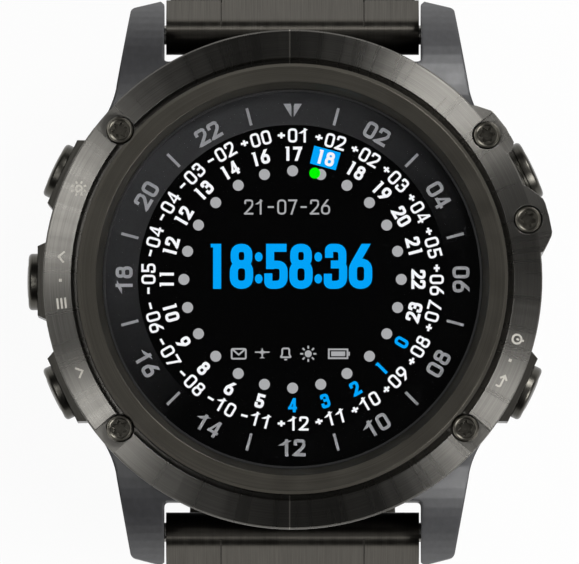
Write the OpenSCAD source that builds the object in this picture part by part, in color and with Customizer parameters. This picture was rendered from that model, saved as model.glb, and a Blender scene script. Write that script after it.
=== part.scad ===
// Pilot's wristwatch with a world time dial, on a three-row metal bracelet.
// The bracelet is closed and the watch stands on the flat of its clasp, dial up:
// +Y points to 12 o'clock, +X to 3 o'clock, and z = 0 is under the clasp.
// Heights in the watch head are measured up from the flat of the back cover.

/* [Case] */
// Radius of the polymer case
case_r = 24.2; // [24:0.1:24.6]
// Height of the top of the case above the back
case_top = 12; // [11.8:0.1:12.3]
// Height of the underside of the case above the back
case_low = 0.6; // [0.4:0.1:0.8]
// Thickness of the case wall round the works
case_wall = 4.9; // [4.8:0.1:5]
// Distance between the insides of a pair of lugs
lug_gap = 26.4; // [26.2:0.1:26.6]
// Distance of a lug bar outside the case
bar_out = 1.4; // [1.3:0.1:1.6]
// Height of the lug bars above the back
bar_h = 2.6; // [2.4:0.1:2.8]
// Radius of a lug bar
bar_r = 1; // [0.9:0.05:1.1]
// How far a lug bar goes into each lug
bar_seat = 2; // [1.5:0.1:2.2]

/* [Back] */
// Width of the case's rim outside the back cover
cover_inset = 2.2; // [2.1:0.1:2.3]
// Thickness of the back cover
cover_t = 1.6; // [1.5:0.1:1.7]
// Radius of the window over the heart rate sensor
window_r = 9; // [8.5:0.1:9.5]
// How far the sensor window stands out below the back
window_drop = 1.2; // [1:0.1:1.4]
// Distance of the back screws from the edge of the back cover
back_screw_inset = 1.1; // [1.05:0.05:1.2]

/* [Bezel and glass] */
// How far the outer ring stands out from the case
ring_over = 1.3; // [1.2:0.1:1.5]
// Width of the brushed face of the outer ring
ring_face_w = 3; // [2.9:0.1:3.1]
// Width of the groove between the two rings
ring_groove_w = 0.5; // [0.45:0.05:0.6]
// Width of the polished face of the inner ring
lip_w = 1.9; // [1.8:0.1:2]
// Width of the slope from the polished face down to the glass
lip_slope_w = 0.7; // [0.6:0.05:0.75]
// Height of the brushed face above the case
ring_rise = 3.1; // [3:0.1:3.3]
// Height of the polished face above the brushed face
lip_rise = 1.1; // [1:0.1:1.3]
// Height of the outer ring's skirt below the top of the case
skirt_drop = 1.1; // [1:0.1:1.2]
// Thickness of the glass
glass_t = 1.3; // [1.2:0.1:1.4]
// Width of the hour ring
hour_ring_w = 3.6; // [3.4:0.1:3.8]
// Radius of the head of a bezel screw
screw_head_r = 1.41; // [1.35:0.01:1.43]
// Width of the notch that a bezel screw sits in
notch_w = 3; // [2.95:0.05:3.1]

/* [Buttons] */
// Angle of the outer buttons from the middle one
button_angle = 25.4; // [25.2:0.1:25.6]
// Height of the buttons above the back
button_h = 7; // [6.9:0.1:7.1]
// Radius of a button cap
button_r = 2.9; // [2.85:0.05:2.95]
// Radius of the start button's cap
start_r = 3.05; // [3:0.05:3.1]
// How far a cap's face stands out from the case
button_out = 3; // [2.9:0.1:3.2]
// How far the start button's face stands out from the case
start_out = 3.1; // [3:0.1:3.2]
// How far a button moves when it is pressed
button_travel = 0.5; // [0.4:0.05:0.55]
// Width of the collar round a button
collar_w = 8.1; // [8:0.1:8.3]

/* [Bracelet] */
// Play of the bracelet between a pair of lugs
strap_play = 0.4; // [0.3:0.05:0.5]
// Width of the bracelet at the clasp
clasp_w = 21; // [20.9:0.1:21.3]
// Width of a side row at the clasp
side_row_w = 3.2; // [3.15:0.05:3.3]
// Distance between the pins of one link
pitch = 9.6; // [9.5:0.05:9.7]
// Distance from a lug bar to the first pin
reach = 4.35; // [4.3:0.05:4.45]
// Half of the thickness of a link
link_r = 1.9; // [1.85:0.05:1.95]
// Radius of the end link round the lug bar
end_r = 2.05; // [2:0.05:2.2]
// Radius of a bracelet pin
pin_r = 0.6; // [0.55:0.05:0.65]
// How steeply the end link hangs down
dip_angle = 50; // [49:0.5:51]
// Bend at the first pin
bend_angle_1 = 20; // [19:0.5:21]
// Bend at the second pin
bend_angle_2 = 15; // [14:0.5:16]
// Bend at the third pin
bend_angle_3 = 15; // [14:0.5:16]
// Bend at the fourth pin
bend_angle_4 = 25; // [24:0.5:26]
// Bend at the fifth pin
bend_angle_5 = 30; // [29:0.5:31]

/* [Clasp] */
// Height of the last bracelet pins above the surface
pin_z = 3.6; // [3.55:0.05:3.7]
// Thickness of the clasp's plate
plate_t = 1.2; // [1.1:0.05:1.25]
// Thickness of a side wall of the clasp
wall_t = 1.2; // [1.1:0.05:1.25]
// Height of the side walls of the clasp
wall_h = 5; // [4.9:0.1:5.2]
// Distance from the last bracelet pins in to the blade hinges
hinge_back = 4.142; // [4.1:0.02:4.2]
// Radius of a pin in the clasp
hinge_pin_r = 0.5; // [0.45:0.05:0.55]
// Radius of a clasp pusher
pusher_r = 1.3; // [1.2:0.05:1.35]

/* [Hidden] */
$fn = 96;

// Clearances and small sizes that several pieces share
slip = 0.02;
fit = 0.05;
run = 0.08;
gap = 0.1;
step = 0.3;
over = 1;
far = case_r * 2;

// Radii in the head, from the case outwards and inwards
cavity_r = case_r - case_wall;
bar_y = case_r + bar_out;
cover_r = case_r - cover_inset;
ring_r = case_r + ring_over;
ring_face_r = ring_r - ring_face_w;
lip_r = ring_face_r - ring_groove_w;
lip_slope_r = lip_r - lip_w;
lip_seat_r = lip_slope_r - lip_slope_w;
glass_seal = 0.28;
glass_r = lip_seat_r - glass_seal;
lip_shelf = 1.3;
lip_throat_r = lip_seat_r - lip_shelf;
screen_r = lip_seat_r - hour_ring_w;
skirt_r = case_r + fit;

// Directions of the bracelet's pieces below the horizontal, from the lug bar to the clasp
slope_angles = [
    dip_angle,
    dip_angle + bend_angle_1,
    dip_angle + bend_angle_1 + bend_angle_2,
    dip_angle + bend_angle_1 + bend_angle_2 + bend_angle_3,
    dip_angle + bend_angle_1 + bend_angle_2 + bend_angle_3 + bend_angle_4,
    dip_angle + bend_angle_1 + bend_angle_2 + bend_angle_3 + bend_angle_4 + bend_angle_5
];
pin_count = 6;
function along(k) = (k == 1 ? reach : pitch) * [cos(slope_angles[k - 1]), -sin(slope_angles[k - 1])];
function from_bar(k) = k == 0 ? [0, 0] : from_bar(k - 1) + along(k);
bar_z = pin_z - from_bar(pin_count)[1];
clasp_pin_y = bar_y + from_bar(pin_count)[0];
back_z = bar_z - bar_h;

// Heights in the head
skirt_low = case_top - skirt_drop;
ring_top = case_top + ring_rise;
lip_top = ring_top + lip_rise;
glass_sink = 0.9;
glass_top = lip_top - glass_sink;
glass_low = glass_top - glass_t;
ring_low = glass_low - step;
screen_top = ring_low - fit;
screen_t = 1.75;
screen_low = screen_top - screen_t;
board_drop = 1.5;
board_low = screen_low - board_drop;
board_t = 0.8;
board_inset = 0.9;
board_r = cavity_r - board_inset;
groove_depth = 0.9;
groove_low = ring_top - groove_depth;
edge_fall = 0.35;
ring_cut = 0.15;
edge_cut = 0.5;
lip_round = 0.35;

// Flank of the case under the outer ring
flank_in = 2.2;
flank_bulge = 0.2;
flank_rise = 0.4;
flank_h = 3.4;

// Frame for the works and the pieces in it
frame_inset = 1.7;
frame_lift = 1.3;
frame_low = cover_t + frame_lift;
frame_floor = 0.5;
frame_r = cavity_r - frame_inset;
frame_wall = 0.8;
frame_top = board_low - gap;
works_r = frame_r - frame_wall;
works_low = frame_low + frame_floor;
motor_r = 4;
motor_t = 2.7;
motor_inset = 1.6;
motor_y = motor_r + motor_inset - works_r;
battery_w_share = 1.43;
battery_far_share = 0.678;
battery_gap = 1.62;
battery_near_y = motor_y + motor_r + battery_gap;
battery_t = 5.6;
processor_size = [8, 8, 0.6];
memory_size = [4, 5, 0.5];
memory_at = [6, -2];
sensor_board_over = 0.6;
contact_r = 0.6;
contact_out = 4;
contact_y = window_r + contact_out;
contact_pitch = 2.5;
contact_count = 4;
contact_top = 2.2;

// Back
gasket_inset = 0.2;
gasket_in = cavity_r + gasket_inset;
gasket_w = 0.5;
gasket_h = 0.7;
back_screw_at = cover_r - back_screw_inset;
back_head_r = 0.95;
back_head_t = 0.7;
back_shank_r = 0.5;
back_shank_top = 5;
back_hex_r = 0.5;
hex_depth = 0.4;
window_lip = 0.1;
window_shares = [[0, 1], [0.3, 0.97], [0.55, 0.85], [0.75, 0.65], [0.9, 0.35], [1, 0]];

// Bezel screws: angles, and distances from the centre as shares of the outer ring's radius.
// Three stand over the case wall, one in the corner of the upper guard and one in the lower guard.
wall_screw_angles = [139.2, 220.8, -40.8];
wall_screw_shares = [0.9137, 0.9137, 0.9137];
corner_screw_angles = [36.6];
corner_screw_shares = [0.969];
guard_screw_angles = [14.2];
guard_screw_shares = [0.9725];
notch_depth = 1.2;
notch_len = 4;
screw_floor = ring_top - notch_depth;
screw_head_t = 0.9;
screw_shank_r = 0.65;
screw_bite = 1.5;
screw_shank_low = skirt_low - screw_bite;
socket_r = 0.8;
socket_depth = 0.5;
boss_r = 1.5;
boss_h = 5.8;

// Guards on both sides of the start button, as seen from above, in shares of the outer ring's radius
upper_guard_shares = [
    [0.608, 0.725], [0.739, 0.694], [0.796, 0.675], [0.809, 0.665],
    [0.855, 0.608], [0.886, 0.549], [0.878, 0.514], [0.745, 0.431]
];
lower_guard_shares = [
    [0.882, 0.373], [0.929, 0.378], [0.965, 0.353], [1.002, 0.323], [1.012, 0.304],
    [1.027, 0.25], [1.039, 0.19], [1.037, 0.174], [1.024, 0.146], [1.004, 0.109], [0.902, 0.086]
];
guard_drop = 7.5;
guard_top = ring_top - edge_fall;

// Lugs, in the quarter of 12 and 3 o'clock: the root and the waist sit on the case, the tip beyond the bar
lug_in = lug_gap / 2;
lug_w = 4.8;
lug_tip = 3.4;
lug_tip_y = bar_y + lug_tip;
lug_drop = 0.9;
lug_waist_back = 5.4;
lug_root_shares = [0.7, 0.58];
lug_shoulder_shares = [[0.822, 0.645], [0.752, 0.752]];
lug_corner_shares = [[0.719, 0.647], [0.708, 0.75], [0.625, 0.794]];
lug_tip_cut = 0.35;
lug_side_root_share = 0.5;
lug_side_shoulder_share = 0.785;
lug_crest = 0.4;
lug_toe = 0.8;
lug_arch = 3.6;
corner_r = 0.45;
web_w = 4;
strap_room = 1.05;
strap_flat_y = bar_y - end_r - strap_room;

// Buttons
four_button_angles = [180 - button_angle, 180, 180 + button_angle, -button_angle];
all_button_angles = concat(four_button_angles, [button_angle]);
button_face = case_r + button_out;
start_face = case_r + start_out;
cap_base = case_r + step;
cap_play = 0.2;
cap_pocket = cap_base - button_travel - cap_play;
stem_r = 1.3;
stem_end = cavity_r - step;
seal_r = 1.75;
seal_inset = 3;
seal_at = case_r - seal_inset;
seal_t = 0.7;
dome = 0.35;
collar_h = 7;
collar_out = 1.9;
collar_face = case_r + collar_out;
collar_cut = 1.1;
collar_side_cut = 0.5;
switch_size = [0.6, 3.2, 2.6];
switch_at = frame_r + fit;

// Bracelet
band_w = lug_gap - strap_play;
tongue_w = clasp_w - 2 * side_row_w;
link_play = 0.25;
link_gap_r = link_r + link_play;
row_line = 0.25;
latch_size = [8, 2, 0.6];
latch_at = 1.2;
latch_room = 0.55;
latch_grip = 0.5;
spring_bar_inset = 0.15;
pin_inset = 0.2;

// Clasp
hinge_y = clasp_pin_y - hinge_back;
ear_in = tongue_w / 2 + gap;
middle_low = plate_t + step;
middle_t = 1.1;
blade_z = middle_low + middle_t;
blade_hinge_r = 1;
outer_hinge_lift = 0.8;
outer_blade_hinge_z = blade_z + outer_hinge_lift;
outer_blade_hinge_r = 1.1;
inner_lift = 0.2;
inner_low = pin_z + inner_lift;
inner_t = 0.9;
blade_play = 0.5;
blade_w = clasp_w - 2 * wall_t - 2 * blade_play;
knuckle_inset = 3.9;
knuckle_w = blade_w - 2 * knuckle_inset;
inner_ear_out = clasp_w / 2 - wall_t - gap;
plate_end = hinge_y + blade_hinge_r + gap;
plate_start = -clasp_pin_y - over;
swing_room = 0.4;
side_clear_y = clasp_pin_y + link_r + swing_room;
blade_tail = 0.85;
blade_end_y = hinge_y + blade_tail;
ear_root_y = hinge_y + blade_hinge_r + swing_room;
pusher_y = -2;
pusher_z = (plate_t + wall_h) / 2;
pusher_in = clasp_w / 2 - wall_t + gap;
pusher_out = 0.6;
slot_inset = 1.9;
slot_w = knuckle_w - 2 * slot_inset;
slot_share = 1.12;
slot_len = hinge_y * slot_share;

// Points of a quadratic curve from a to c, pulled towards b
function curve(a, b, c, steps) = [
    for (i = [0:steps])
        let (t = i / steps)
        pow(1 - t, 2) * a + 2 * t * (1 - t) * b + pow(t, 2) * c
];

// Width of the bracelet at pin k
function band_at(k) = band_w - (band_w - clasp_w) * k / pin_count;

// A round bar along X, centred
module cross_bar(r, w) {
    rotate([0, 90, 0]) cylinder(h = w, r = r, center = true);
}

// A side view in Y and Z, drawn out along X and centred
module across(w) {
    rotate([90, 0, 90]) translate([0, 0, -w / 2]) linear_extrude(w) children();
}

// The same thing on the left and on the right
module both_sides() {
    children();
    mirror([1, 0, 0]) children();
}

// Lifts the watch head to its place over the clasp
module in_head() {
    translate([0, 0, back_z]) children();
}

// A tube along Z with its foot at the given height
module tube(outer, inner, low, high) {
    translate([0, 0, low]) difference() {
        cylinder(h = high - low, r = outer);
        translate([0, 0, -over]) cylinder(h = high - low + 2 * over, r = inner);
    }
}

// A piece that points outwards at an angle, its X axis the way out from the centre
module outward(angle, h) {
    translate([0, 0, h]) rotate([0, 0, angle]) children();
}

// A round bar along X from one distance to another
module out_bar(r, from, to) {
    translate([from, 0, 0]) rotate([0, 90, 0]) cylinder(h = to - from, r = r);
}

// Puts a piece at pin k of the upper half, with +Y along the bracelet and +Z outwards
module at_pin(k) {
    point = from_bar(k);
    translate([0, bar_y + point[0], bar_z + point[1]]) rotate([-slope_angles[k], 0, 0]) children();
}

module lower_half() {
    mirror([0, 1, 0]) children();
}

// Case

module lug_plan() {
    root = case_r * lug_root_shares;
    waist = [lug_in + lug_w, bar_y - lug_waist_back];
    edge = curve(case_r * lug_shoulder_shares[0], case_r * lug_shoulder_shares[1], waist, 8);
    tip = [for (s = lug_corner_shares) [lug_in + s[0] * lug_w, bar_y + s[1] * lug_tip]];
    corner = curve(tip[0], tip[1], tip[2], 6);
    end = [[lug_in + lug_tip_cut, lug_tip_y], [lug_in, lug_tip_y - lug_tip_cut]];
    fillet_top = [lug_in, strap_flat_y + corner_r];
    fillet_end = [lug_in - corner_r, strap_flat_y];
    fillet = curve(fillet_top, [lug_in, strap_flat_y], fillet_end, 4);
    web = [[lug_in - web_w, strap_flat_y], [lug_in - web_w, root[1]], root];
    polygon(concat(web, edge, corner, end, fillet));
}

module lug_side() {
    root_y = case_r * lug_side_root_share;
    shoulder_y = case_r * lug_side_shoulder_share;
    top_h = skirt_low - gap;
    tip_top = [lug_tip_y, bar_h + bar_r];
    toe = [bar_y + lug_toe, -lug_drop];
    top = curve([shoulder_y, top_h], [bar_y + lug_crest, skirt_low - over], tip_top, 12);
    tip = curve(tip_top, [lug_tip_y + 2 * gap, -lug_drop], toe, 8);
    under = curve(toe, [bar_y - lug_arch, -lug_drop], [shoulder_y, case_low], 8);
    polygon(concat([[root_y, top_h]], top, tip, under, [[root_y, case_low]]));
}

module lug() {
    intersection() {
        translate([0, 0, -over * 2]) linear_extrude(far) lug_plan();
        across(far * 2) lug_side();
    }
}

module hollow_lug() {
    difference() {
        lug();
        translate([0, 0, -over * 3]) cylinder(h = far, r = cavity_r);
    }
}

module case_shell() {
    flank = curve(
        [case_r - flank_in, case_low],
        [case_r - flank_bulge, case_low + flank_rise],
        [case_r, case_low + flank_h], 8
    );
    rotate_extrude() polygon(concat([[cavity_r, case_low]], flank, [[case_r, case_top], [cavity_r, case_top]]));
}

module button_holes(angle, r) {
    outward(angle, button_h) {
        out_bar(stem_r + run, cavity_r - over, case_r);
        out_bar(seal_r, seal_at, seal_at + seal_t);
        out_bar(r + gap, cap_pocket, case_r + over);
    }
}

module screw_places(angles, shares) {
    for (i = [0:len(angles) - 1]) rotate([0, 0, angles[i]]) translate([ring_r * shares[i], 0, 0]) children();
}

module wall_screws() {
    screw_places(wall_screw_angles, wall_screw_shares) children();
}

module corner_screw() {
    screw_places(corner_screw_angles, corner_screw_shares) children();
}

module guard_screw() {
    screw_places(guard_screw_angles, guard_screw_shares) children();
}

module every_screw() {
    wall_screws() children();
    corner_screw() children();
    guard_screw() children();
}

module case_body() {
    color([0.22, 0.22, 0.23]) in_head() difference() {
        union() {
            case_shell();
            both_sides() {
                hollow_lug();
                lower_half() hollow_lug();
            }
            // bosses of the bezel screws, which end inside the case wall
            intersection() {
                cylinder(h = case_top, r = case_r - gap);
                wall_screws() tube(boss_r, screw_shank_r, skirt_low - gap - boss_h, skirt_low - gap);
            }
        }
        // flats that face the bracelet
        for (side = [0, 1]) mirror([0, side, 0]) {
            translate([-lug_in + web_w + gap, strap_flat_y, -over])
                cube([lug_gap - 2 * (web_w + gap), over * 5, case_top + 2 * over]);
        }
        // seat of the back cover and groove of its gasket
        translate([0, 0, -over]) cylinder(h = over + cover_t, r = cover_r + gap);
        tube(gasket_in + gasket_w, gasket_in, cover_t - fit, cover_t + gasket_h);
        for (turn = [45:90:315]) rotate([0, 0, turn]) translate([back_screw_at, 0, 0])
            cylinder(h = back_shank_top, r = back_shank_r);
        // lug bars
        for (side = [-1, 1]) translate([0, side * bar_y, bar_h])
            cross_bar(bar_r, lug_gap + 2 * bar_seat);
        // bezel screws, above the bosses and in the case wall
        every_screw() translate([0, 0, screw_shank_low]) cylinder(h = far, r = screw_shank_r);
        for (angle = four_button_angles) button_holes(angle, button_r);
        button_holes(button_angle, start_r);
    }
}

module lug_bars() {
    color([0.55, 0.55, 0.56]) in_head() for (side = [-1, 1])
        translate([0, side * bar_y, bar_h]) cross_bar(bar_r, lug_gap + 2 * bar_seat);
}

// Back

module back_cover() {
    color([0.62, 0.61, 0.59]) in_head() difference() {
        rotate_extrude() polygon([
            [window_r + slip, 0], [cover_r - edge_cut, 0], [cover_r, edge_cut],
            [cover_r, cover_t], [window_r + slip, cover_t]
        ]);
        for (turn = [45:90:315]) rotate([0, 0, turn]) translate([back_screw_at, 0, -over]) {
            cylinder(h = over + back_head_t, r = back_head_r);
            cylinder(h = over + far, r = back_shank_r);
        }
        contact_places() translate([0, 0, -over]) cylinder(h = far, r = contact_r);
    }
}

module back_screws() {
    color([0.5, 0.5, 0.5]) in_head() for (turn = [45:90:315])
        rotate([0, 0, turn]) translate([back_screw_at, 0, 0]) difference() {
            union() {
                cylinder(h = back_head_t, r = back_head_r);
                cylinder(h = back_shank_top, r = back_shank_r);
            }
            translate([0, 0, -over]) cylinder(h = over + hex_depth, r = back_hex_r, $fn = 6);
        }
}

module back_gasket() {
    color([0.08, 0.08, 0.08]) in_head()
        tube(gasket_in + gasket_w, gasket_in, cover_t, cover_t + gasket_h);
}

module sensor_window() {
    dome_points = [for (s = window_shares) [s[0] * window_r, window_lip - s[1] * (window_drop + window_lip)]];
    color([0.06, 0.06, 0.07]) in_head()
        rotate_extrude() polygon(concat(dome_points, [[window_r, cover_t], [0, cover_t]]));
}

module sensor_board() {
    color([0.1, 0.35, 0.2]) in_head()
        translate([0, 0, cover_t]) cylinder(h = board_t, r = window_r + sensor_board_over);
}

module contact_places() {
    for (i = [0:contact_count - 1])
        translate([(i - (contact_count - 1) / 2) * contact_pitch, contact_y, 0]) children();
}

module charge_contacts() {
    color([0.85, 0.7, 0.35]) in_head() contact_places() cylinder(h = contact_top, r = contact_r);
}

// Bezel and glass

module guard(outline, low) {
    translate([0, 0, low]) linear_extrude(guard_top - low) polygon(ring_r * outline);
}

// A channel from a screw out through the edge of the ring
module notch() {
    translate([0, -notch_w / 2, screw_floor]) cube([notch_len, notch_w, far]);
}

module outer_bezel() {
    color([0.55, 0.53, 0.5]) in_head() difference() {
        union() {
            rotate_extrude() polygon([
                [lip_r + fit, case_top], [skirt_r, case_top], [skirt_r, skirt_low],
                [ring_r - edge_cut, skirt_low], [ring_r, skirt_low + edge_cut],
                [ring_r, ring_top - edge_fall - ring_cut],
                [ring_r - ring_cut, ring_top - edge_fall],
                [ring_face_r + ring_cut, ring_top], [ring_face_r, ring_top - ring_cut],
                [ring_face_r, groove_low], [lip_r + fit, groove_low]
            ]);
            difference() {
                union() {
                    guard(upper_guard_shares, skirt_low);
                    guard(lower_guard_shares, skirt_low - guard_drop);
                }
                cylinder(h = case_top, r = skirt_r);
                cylinder(h = far, r = ring_face_r + ring_cut);
            }
        }
        every_screw() {
            translate([0, 0, screw_floor]) cylinder(h = far, r = notch_w / 2);
            translate([0, 0, screw_shank_low]) cylinder(h = far, r = screw_shank_r);
        }
        wall_screws() notch();
        corner_screw() notch();
        outward(button_angle, button_h) out_bar(start_r + gap, case_r - over, far);
    }
}

module inner_bezel() {
    color([0.35, 0.33, 0.3]) in_head() difference() {
        rotate_extrude() polygon([
            [lip_throat_r, case_top], [lip_r, case_top],
            [lip_r, lip_top - lip_round], [lip_r - lip_round, lip_top],
            [lip_slope_r, lip_top], [lip_seat_r, glass_top + slip],
            [lip_seat_r, ring_low], [lip_throat_r, ring_low]
        ]);
        wall_screws() translate([0, 0, screw_floor]) cylinder(h = far, r = notch_w / 2);
    }
}

module bezel_screw() {
    difference() {
        union() {
            translate([0, 0, screw_floor]) cylinder(h = screw_head_t, r = screw_head_r);
            translate([0, 0, screw_shank_low]) cylinder(h = screw_floor - screw_shank_low, r = screw_shank_r);
        }
        translate([0, 0, screw_floor + screw_head_t - socket_depth]) cylinder(h = over, r = socket_r, $fn = 6);
    }
}

module bezel_screws() {
    color([0.3, 0.29, 0.27]) in_head() every_screw() bezel_screw();
}

module crystal() {
    color([0.75, 0.8, 0.85, 0.35]) in_head()
        translate([0, 0, glass_low]) cylinder(h = glass_t, r = glass_r);
}

module crystal_gasket() {
    color([0.05, 0.05, 0.05]) in_head()
        tube(lip_seat_r - slip, glass_r + slip, glass_low, glass_top - fit);
}

module hour_ring() {
    color([0.12, 0.12, 0.13]) in_head() tube(lip_seat_r - fit, screen_r, ring_low, glass_low);
}

module display_panel() {
    color([0.02, 0.02, 0.03]) in_head()
        translate([0, 0, screen_low]) cylinder(h = screen_top - screen_low, r = lip_throat_r - gap);
}

// Works

module module_frame() {
    color([0.15, 0.15, 0.16]) in_head() difference() {
        translate([0, 0, frame_low]) cylinder(h = frame_top - frame_low, r = frame_r);
        translate([0, 0, frame_low + frame_floor]) cylinder(h = far, r = frame_r - frame_wall);
    }
}

module main_board() {
    color([0.08, 0.32, 0.18]) in_head() union() {
        translate([0, 0, board_low]) cylinder(h = board_t, r = board_r);
        translate([-processor_size[0] / 2, -processor_size[1] / 2, board_low + board_t]) cube(processor_size);
        translate([memory_at[0], memory_at[1], board_low + board_t]) cube(memory_size);
    }
}

module battery() {
    size = [works_r * battery_w_share, works_r * battery_far_share - battery_near_y, battery_t];
    color([0.75, 0.75, 0.78]) in_head() translate([-size[0] / 2, battery_near_y, works_low]) cube(size);
}

module vibration_motor() {
    color([0.7, 0.68, 0.6]) in_head()
        translate([0, motor_y, works_low]) cylinder(h = motor_t, r = motor_r);
}

// Buttons

module collar() {
    half_w = collar_w / 2;
    half_h = collar_h / 2;
    difference() {
        translate([0, 0, -half_h]) linear_extrude(collar_h) polygon([
            [case_r - over * 2, -half_w], [collar_face - collar_cut, -half_w],
            [collar_face, -half_w + collar_side_cut], [collar_face, half_w - collar_side_cut],
            [collar_face - collar_cut, half_w], [case_r - over * 2, half_w]
        ]);
        out_bar(button_r + gap, case_r - over * 3, far);
    }
}

module button_collars() {
    color([0.12, 0.12, 0.12]) in_head() difference() {
        for (angle = four_button_angles) outward(angle, button_h) collar();
        cylinder(h = case_top, r = skirt_r);
    }
}

module button(angle, r, face) {
    color([0.5, 0.49, 0.46]) in_head() outward(angle, button_h) rotate([0, 90, 0]) rotate_extrude() polygon(concat(
        [[0, stem_end], [stem_r, stem_end], [stem_r, cap_base], [r, cap_base], [r, face - dome]],
        curve([r, face - dome], [r - dome, face - dome / 3], [r / 2, face - slip], 6),
        [[0, face]]
    ));
}

module light_button() {
    button(180 - button_angle, button_r, button_face);
}

module up_button() {
    button(180, button_r, button_face);
}

module down_button() {
    button(180 + button_angle, button_r, button_face);
}

module start_button() {
    button(button_angle, start_r, start_face);
}

module back_button() {
    button(-button_angle, button_r, button_face);
}

module button_seals() {
    color([0.08, 0.08, 0.08]) in_head() for (angle = all_button_angles) outward(angle, button_h)
        difference() {
            out_bar(seal_r, seal_at, seal_at + seal_t);
            out_bar(stem_r + slip, seal_at - over, seal_at + over * 2);
        }
}

module button_switches() {
    color([0.8, 0.8, 0.8]) in_head() for (angle = all_button_angles) outward(angle, button_h)
        translate([switch_at, -switch_size[1] / 2, -switch_size[2] / 2]) cube(switch_size);
}

// Bracelet

module link_shape(first_r, length) {
    circle(first_r);
    translate([length, 0]) circle(link_r);
    polygon([[0, -first_r], [length, -link_r], [length, link_r], [0, first_r]]);
}

// Keeps what lies inside the taper of the bracelet
module taper(first_w, last_w, length) {
    translate([0, 0, -far / 2]) linear_extrude(far) polygon([
        [-first_w / 2, -over * 4], [first_w / 2, -over * 4], [first_w / 2, 0], [last_w / 2, length],
        [last_w / 2, length + over * 4], [-last_w / 2, length + over * 4], [-last_w / 2, length], [-first_w / 2, 0]
    ]);
}

// Fine lines between the centre row and the side rows
module row_lines(length, face) {
    both_sides() translate([tongue_w / 2, -over * 3, face - row_line]) cube([gap, length + over * 6, over]);
    both_sides() translate([tongue_w / 2, -over * 3, -face - over + row_line]) cube([gap, length + over * 6, over]);
}

module room_beside_tongue(length) {
    both_sides() translate([tongue_w / 2, length, 0]) rotate([0, 90, 0]) cylinder(h = band_w, r = link_gap_r);
}

module link(k) {
    difference() {
        intersection() {
            across(band_w) link_shape(link_r, pitch);
            taper(band_at(k), band_at(k + 1), pitch);
        }
        cross_bar(link_gap_r, tongue_w + 2 * gap);
        room_beside_tongue(pitch);
        cross_bar(pin_r, far);
        translate([0, pitch, 0]) cross_bar(pin_r + run, far);
        row_lines(pitch, link_r);
    }
}

module end_link() {
    difference() {
        intersection() {
            across(band_w) link_shape(end_r, reach);
            taper(band_w, band_w, reach);
        }
        room_beside_tongue(reach);
        cross_bar(bar_r + run, far);
        translate([0, reach, 0]) cross_bar(pin_r + run, far);
        row_lines(reach, end_r);
        translate([-latch_size[0] / 2 - fit, latch_at - latch_room, -end_r - over])
            cube([latch_size[0] + 2 * fit, latch_size[1] + 2 * latch_room, over + latch_size[2] + gap]);
    }
}

module latch() {
    translate([-latch_size[0] / 2, latch_at, -end_r]) cube(latch_size);
    translate([-latch_size[0] / 4, latch_at + latch_grip, -end_r - latch_grip])
        cube([latch_size[0] / 2, latch_grip * 2, latch_grip]);
}

module pin(k) {
    cross_bar(pin_r, band_at(k) - 2 * pin_inset);
}

module steel() {
    color([0.6, 0.58, 0.55]) children();
}

module upper_end_link() {
    steel() at_pin(0) end_link();
}

module lower_end_link() {
    steel() lower_half() at_pin(0) end_link();
}

module upper_latch() {
    color([0.4, 0.4, 0.4]) at_pin(0) latch();
}

module lower_latch() {
    color([0.4, 0.4, 0.4]) lower_half() at_pin(0) latch();
}

module upper_link(k) {
    steel() at_pin(k) link(k);
}

module lower_link(k) {
    steel() lower_half() at_pin(k) link(k);
}

module upper_pin(k) {
    steel() at_pin(k) pin(k);
}

module lower_pin(k) {
    steel() lower_half() at_pin(k) pin(k);
}

// The last link of the upper half, cut back at the sides so that the clasp can swing past it
module upper_last_link() {
    difference() {
        upper_link(pin_count - 1);
        both_sides() translate([tongue_w / 2, 0, 0]) cube([far, side_clear_y, far]);
    }
}

// The bar that joins the clasp to the upper half, drawn in inside the last link
module upper_spring_bar() {
    steel() translate([0, clasp_pin_y, pin_z]) cross_bar(pin_r + run, tongue_w - 2 * spring_bar_inset);
}

module lower_spring_bar() {
    steel() translate([0, -clasp_pin_y, pin_z]) cross_bar(pin_r, clasp_w - 2 * pin_inset);
}

// Clasp

module cover_side() {
    translate([-clasp_pin_y, pin_z]) circle(link_r);
    translate([hinge_y, blade_z]) circle(blade_hinge_r + gap);
    polygon([
        [-clasp_pin_y - over, 0], [plate_end, 0], [plate_end, blade_z], [hinge_y - over, wall_h],
        [-clasp_pin_y, pin_z + link_r], [-clasp_pin_y - over, pin_z]
    ]);
}

module clasp_cover() {
    steel() difference() {
        union() {
            intersection() {
                across(clasp_w) cover_side();
                both_sides() translate([clasp_w / 2 - wall_t, -far / 2, 0]) cube([wall_t, far, far]);
            }
            intersection() {
                across(clasp_w) {
                    translate([-clasp_pin_y, pin_z]) circle(link_r);
                    polygon([
                        [-clasp_pin_y - over, 0], [-clasp_pin_y + link_r, 0],
                        [-clasp_pin_y + link_r, pin_z], [-clasp_pin_y - over, pin_z]
                    ]);
                }
                both_sides() translate([ear_in, -far / 2, 0]) cube([far, far, far]);
            }
            translate([-clasp_w / 2, plate_start, 0]) cube([clasp_w, plate_end - plate_start, plate_t]);
        }
        translate([0, -clasp_pin_y, pin_z]) cross_bar(pin_r, far);
        translate([0, hinge_y, blade_z]) cross_bar(hinge_pin_r, far);
        translate([0, pusher_y, pusher_z]) cross_bar(pusher_r + fit, far);
    }
}

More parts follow.
